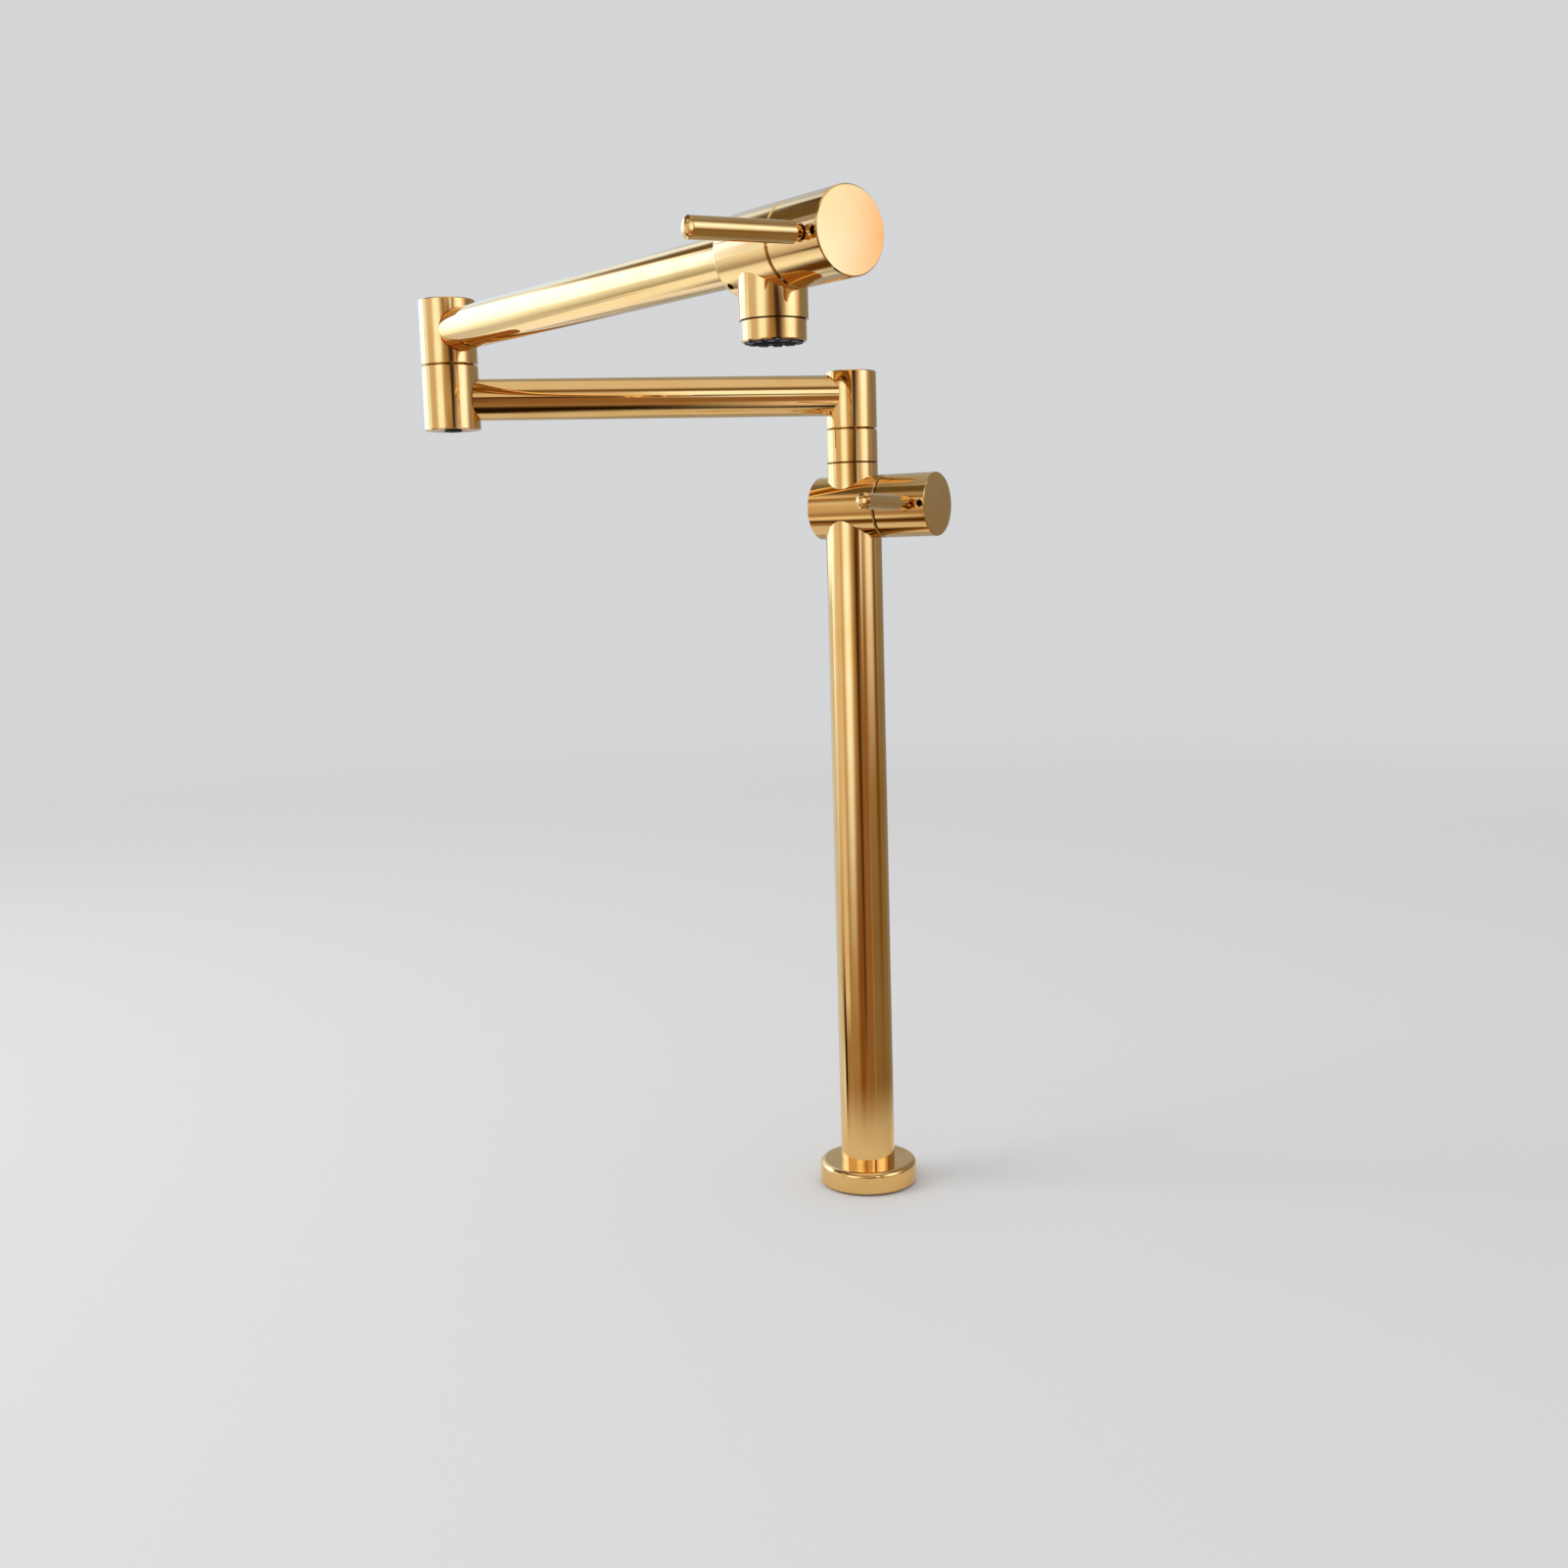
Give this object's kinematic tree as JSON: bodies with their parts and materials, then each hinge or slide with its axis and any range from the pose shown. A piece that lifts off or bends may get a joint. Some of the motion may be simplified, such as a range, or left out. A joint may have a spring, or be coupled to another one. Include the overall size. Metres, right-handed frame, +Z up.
{
  "type": "folding pot filler faucet",
  "caption": "Deck mounted folding faucet: tall riser, two swinging arm tubes on stacked swivel joints, and a quarter turn valve with a pin lever at each end.",
  "frame": {"origin": "on the riser's axis, in the plane of the worktop's top face", "axes": "+Z up along the riser, +X along the wall towards the lower knob, +Y towards the wall"},
  "size_m": [0.3267, 0.3509, 0.5794],
  "materials": {
    "polished_gold": "polished gold plated brass",
    "raw_brass": "turned, unplated",
    "stainless": "plain",
    "black_steel": "blackened",
    "black_rubber": "matt",
    "ceramic": "lapped ceramic",
    "ptfe": "low friction plastic",
    "dark_plastic": "moulded"
  },
  "bodies": {
    "base": {"deck_gasket": "black_rubber", "base_flange": "polished_gold", "mounting_shank": "raw_brass", "under_deck_gasket": "black_rubber", "under_deck_washer": "stainless", "lock_nut": "raw_brass", "riser_tube": "polished_gold", "lower_valve_body": "polished_gold", "swivel_collar": "polished_gold", "collar_bearing": "dark_plastic", "collar_thrust_washer": "ptfe", "lower_cartridge_housing": "raw_brass", "lower_seat_seal": "black_rubber", "lower_housing_ring": "black_rubber", "lower_fixed_disc": "ceramic"},
    "lower_handle": {"lower_spindle": "raw_brass", "lower_moving_disc": "ceramic", "lower_spindle_rings": "black_rubber", "lower_spindle_clip": "stainless", "lower_knob": "polished_gold", "lower_lever": "polished_gold", "lower_grub_screw": "black_steel"},
    "lower_arm": {"riser_swivel_post": "raw_brass", "riser_post_rings": "black_rubber", "riser_hub": "polished_gold", "lower_arm_tube": "polished_gold", "elbow_lower_hub": "polished_gold", "elbow_bearing": "dark_plastic"},
    "upper_arm": {"elbow_post": "raw_brass", "elbow_post_rings": "black_rubber", "elbow_screw": "black_steel", "elbow_upper_hub": "polished_gold", "upper_arm_tube": "polished_gold", "upper_valve_body": "polished_gold", "tube_lock_screw": "black_steel", "aerator_housing": "polished_gold", "aerator_insert": "dark_plastic", "aerator_seal": "black_rubber", "upper_cartridge_housing": "raw_brass", "upper_seat_seal": "black_rubber", "upper_housing_ring": "black_rubber", "upper_fixed_disc": "ceramic"},
    "upper_handle": {"upper_spindle": "raw_brass", "upper_moving_disc": "ceramic", "upper_spindle_rings": "black_rubber", "upper_spindle_clip": "stainless", "upper_knob": "polished_gold", "upper_lever": "polished_gold", "upper_grub_screw": "black_steel"}
  },
  "joints": [
    {"name": "lower_valve_turn", "type": "hinge", "parent": "base", "child": "lower_handle", "pos_m": [0, 0, 0.39], "axis": [1, 0, 0], "range_deg": [0, 90]},
    {"name": "riser_swivel", "type": "hinge", "parent": "base", "child": "lower_arm", "pos_m": [0, 0, 0.39], "axis": [0, 0, 1], "continuous": true},
    {"name": "elbow_swivel", "type": "hinge", "parent": "lower_arm", "child": "upper_arm", "pos_m": [-0.16152, -0.14492, 0.39], "axis": [0, 0, 1], "continuous": true},
    {"name": "upper_valve_turn", "type": "hinge", "parent": "upper_arm", "child": "upper_handle", "pos_m": [0.09871, -0.24273, 0.4862], "axis": [0.9361, -0.3518, 0], "range_deg": [-90, 0]}
  ]
}
